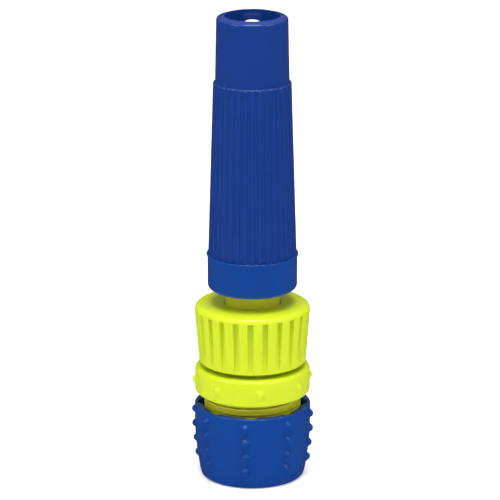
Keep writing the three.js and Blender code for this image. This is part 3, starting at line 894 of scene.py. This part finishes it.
def slot_cutter(inner, outer, width, low, high):
    """A block that runs from an inner to an outer radius at the front."""
    clear_selection()
    middle = (0, -(inner + outer) / 2 * MM, (low + high) / 2 * MM)
    bpy.ops.mesh.primitive_cube_add(size=1, location=middle)
    block = bpy.context.object
    block.scale = (width * MM, (outer - inner) * MM, (high - low) * MM)
    settle(block)
    return soften(block, min(0.25, width / 5), 2)


window = slot_cutter(WATER_R, HEAD_WALL_R + 1, 4.5, CLAW_LOW - 0.25, CLAW_TOP + 0.25)
combine(body, copies_round(window, 4, 0), "DIFFERENCE")
# The connector's shell gets the lime with painted shade, darkened for its thread in the shadow under the
# release ring.
finish_part(body, "connector", "connector_body", LIME_PAINTED_SHADE)

# %% [markdown]
# ## The hose nut
#
# The nut swells from a rounded foot to a wide rim, and has eight rows of four knobs for wet
# hands. Eight scallops down the inside of the rim let the moulding come off its core, and
# its thread matches the body's.

# %% Turn the nut, set its knobs, wind its thread and cut its scallops
NUT_BORE_R = 14.8
NUT_HOLE_R = 9.0
NUT_RIM = NUT_TOP + 0.55
NUT_KNOB_FIRST = -7.6
NUT_KNOB_STEP = 4.6
SCALLOP_R = 2.5
SCALLOP_CENTRE = 14.1
SCALLOP_FIRST = -1.5
nut_outline = bend(NUT_HOLE_R + 0.4, NUT_LOW + 0.4, 0.4, 180, 270, 3)
nut_outline += [(14.6, NUT_LOW), (15.1, NUT_LOW + 0.1), (15.5, NUT_LOW + 0.5)]
nut_outline += [(15.85, NUT_LOW + 1.6), (16.1, NUT_LOW + 3.2), (16.4, NUT_LOW + 5), (16.7, NUT_LOW + 7)]
nut_outline += [(17.0, NUT_LOW + 9.5), (17.24, NUT_LOW + 12), (17.38, NUT_LOW + 14.5)]
nut_outline += [(17.45, NUT_LOW + 17.5), (17.46, NUT_RIM - 0.6)]
nut_outline += bend(17.06, NUT_RIM - 0.4, 0.4, 20, 90, 4)
nut_outline += [(NUT_BORE_R + 0.55, NUT_RIM), (NUT_BORE_R + 0.45, NUT_RIM - 0.1)]
nut_outline += [(NUT_BORE_R + 0.45, NUT_TOP - 3.0), (NUT_BORE_R, NUT_TOP - 3.6), (NUT_BORE_R, 9.6)]
nut_outline += [(13.6, 9.4), (13.4, 9.2), (13.4, 2.8), (13.2, 2.6)]
nut_outline += [(NUT_HOLE_R + 0.2, 2.6), (NUT_HOLE_R, 2.4)]

nut = turned("knobbed_hose_nut", nut_outline, 192)
knobs = []
for row, wall_radius in enumerate((17.45, 17.4, 17.02, 16.5)):
    row_knob = knob(wall_radius, NUT_TOP - 2.5 - row * NUT_KNOB_STEP, 1.05)
    knobs += copies_round(row_knob, KNOBS_ROUND, NUT_KNOB_FIRST)
combine(nut, knobs, "UNION")
combine(nut, [ridge(NUT_BORE_R, 14.05, HOSE_PITCH, 2.5, NUT_TOP - 8.3)], "UNION")


def scallop_cutter(radius, centre, low, high):
    """An upright round bar at the front."""
    clear_selection()
    place = (0, -centre * MM, (low + high) / 2 * MM)
    bpy.ops.mesh.primitive_cylinder_add(
        vertices=40, radius=radius * MM, depth=(high - low) * MM, location=place
    )
    bar = bpy.context.object
    settle(bar)
    return bar


scallop = scallop_cutter(SCALLOP_R, SCALLOP_CENTRE, NUT_TOP - 4, NUT_TOP + 2)
combine(nut, copies_round(scallop, 8, SCALLOP_FIRST), "DIFFERENCE")
finish_part(nut, "nut", "hose_nut", BLUE)

# %% [markdown]
# ## The collet
#
# The collet is a split collar of white acetal. Its fingers carry small teeth inside, and
# when the nut pushes them into the body's mouth they close on the hose.

# %% Turn the collet and slit it
collet_outline = [(9.1, COLLET_LOW + 0.2), (9.3, COLLET_LOW), (12.9, COLLET_LOW)]
collet_outline += [(13.1, COLLET_LOW + 0.2), (13.1, COLLET_LOW + 1.8), (11.9, COLLET_LOW + 2.2)]
collet_outline += [(11.9, COLLET_TOP - 3.6), (11.2, COLLET_TOP - 0.1), (11.1, COLLET_TOP)]
collet_outline += [(9.2, COLLET_TOP), (9.1, COLLET_TOP - 0.1)]
for i in range(3):
    bite = COLLET_TOP - 1.2 - 1.9 * i
    collet_outline += [(8.75, bite), (8.75, bite - 0.08), (9.1, bite - 0.25)]
collet = turned("split_collet", collet_outline, 120)
slit = slot_cutter(6.5, 14.5, 1.2, COLLET_LOW + 2.4, COLLET_TOP + 1)
combine(collet, copies_round(slit, 6, 0), "DIFFERENCE")
finish_part(collet, "collet", "hose_collet", WHITE)

# %% [markdown]
# ## Seals
#
# An O-ring is a plain torus, but a real one shows the line where its mould opened. Each
# ring is a torus whose outermost row of vertices is pushed out a little as that flash line.

# %% Make the five rubber rings
def rubber_ring(name, node, body):
    """A torus in the place of a plain ring, with its mould line."""
    low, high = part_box(node)
    section = (high.z - low.z) / 2
    mean = (high.x - low.x) / 2 - section
    clear_selection()
    bpy.ops.mesh.primitive_torus_add(
        major_segments=96, minor_segments=24, major_radius=mean, minor_radius=section,
        location=(0, 0, (low.z + high.z) / 2),
    )
    seal = bpy.context.object
    seal.name = name
    settle(seal)
    pick(seal, lambda r, angle, z: r > (mean + section * 0.99) / MM)
    scale_round(1 + 0.02 * MM / mean)
    return finish_part(seal, body, node, RUBBER, smooth=60)


rubber_ring("spigot_seal", "spigot_o_ring", "nozzle")
rubber_ring("stem_seal_rear", "stem_o_ring_rear", "nozzle")
rubber_ring("stem_seal_front", "stem_o_ring_front", "nozzle")
rubber_ring("needle_seal", "needle_o_ring", "nozzle")
rubber_ring("grit_wiper", "wiper_ring", "wiper")

# %% [markdown]
# ## The claws
#
# Each claw is a small block: a tongue that reaches through the body's window into the
# spigot's groove, and wider shoulders that stop on the body. A cube is the start, its inner
# face is inset and pulled in to make the tongue, and its edges are rounded.

# %% Make the four claws
CLAW_WIDTH = 5.4
TONGUE_WIDTH = 4.0
claw_in, claw_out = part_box("latch_claw_1")
depth = claw_out.x / MM - HEAD_WALL_R - 0.1
for number in range(1, 5):
    clear_selection()
    place = ((HEAD_WALL_R + 0.1 + depth / 2) * MM, 0, (CLAW_LOW + CLAW_TOP) / 2 * MM)
    bpy.ops.mesh.primitive_cube_add(size=1, location=place)
    claw = bpy.context.object
    claw.name = f"claw_{number}"
    claw.scale = (depth * MM, CLAW_WIDTH * MM, (CLAW_TOP - CLAW_LOW) * MM)
    settle(claw)
    pick(claw, lambda r, angle, z: r > HEAD_WALL_R + 0.6 and z < CLAW_LOW + 0.1)
    bpy.ops.transform.translate(value=(-0.45 * MM, 0, 0))
    bpy.ops.object.mode_set(mode="OBJECT")
    for side in (-1, 1):
        bpy.ops.object.mode_set(mode="EDIT")
        bpy.ops.mesh.select_all(action="SELECT")
        bpy.ops.mesh.bisect(plane_co=(0, side * TONGUE_WIDTH / 2 * MM, 0), plane_no=(0, 1, 0))
        bpy.ops.object.mode_set(mode="OBJECT")
    pick(claw, lambda r, angle, z: abs(angle - 90) < 12.5 and r < HEAD_WALL_R + 0.35)
    bpy.ops.mesh.select_mode(type="FACE")
    bpy.ops.mesh.extrude_region_move(
        TRANSFORM_OT_translate={"value": (claw_in.x - (HEAD_WALL_R + 0.1) * MM, 0, 0)}
    )
    bpy.ops.object.mode_set(mode="OBJECT")
    soften(claw, 0.15, 2)
    claw.rotation_euler = (0, 0, math.radians(90 * (number - 1)))
    settle(claw)
    finish_part(claw, f"claw_{number}", f"latch_claw_{number}", WHITE)

# %% [markdown]
# ## The release spring
#
# The spring is round wire wound by the Screw modifier: a small circle beside the axis, in five turns. It
# shortens as the ring is pulled back.

# %% Wind the spring
WIRE_R = 0.45
SPRING_TURNS = 5
spring_mean = SPRING_R - WIRE_R
clear_selection()
bpy.ops.mesh.primitive_circle_add(
    vertices=14, radius=WIRE_R * MM, rotation=(math.pi / 2, 0, 0),
    location=(spring_mean * MM, 0, (SPRING_LOW + WIRE_R) * MM),
)
spring = bpy.context.object
spring.name = "release_coil"
settle(spring)
winding = spring.modifiers.new("wind", "SCREW")
winding.angle = 2 * math.pi * SPRING_TURNS
winding.screw_offset = (SPRING_TOP - SPRING_LOW - 2 * WIRE_R) * MM
winding.steps = winding.render_steps = 48 * SPRING_TURNS
bpy.ops.object.modifier_apply(modifier=winding.name)
bpy.ops.object.mode_set(mode="EDIT")
bpy.ops.mesh.select_all(action="SELECT")
bpy.ops.mesh.fill_holes(sides=0)
bpy.ops.mesh.select_all(action="SELECT")
bpy.ops.mesh.normals_make_consistent(inside=False)
bpy.ops.object.mode_set(mode="OBJECT")
finish_part(spring, "connector", "release_spring", STEEL, smooth=60)
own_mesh(spring)
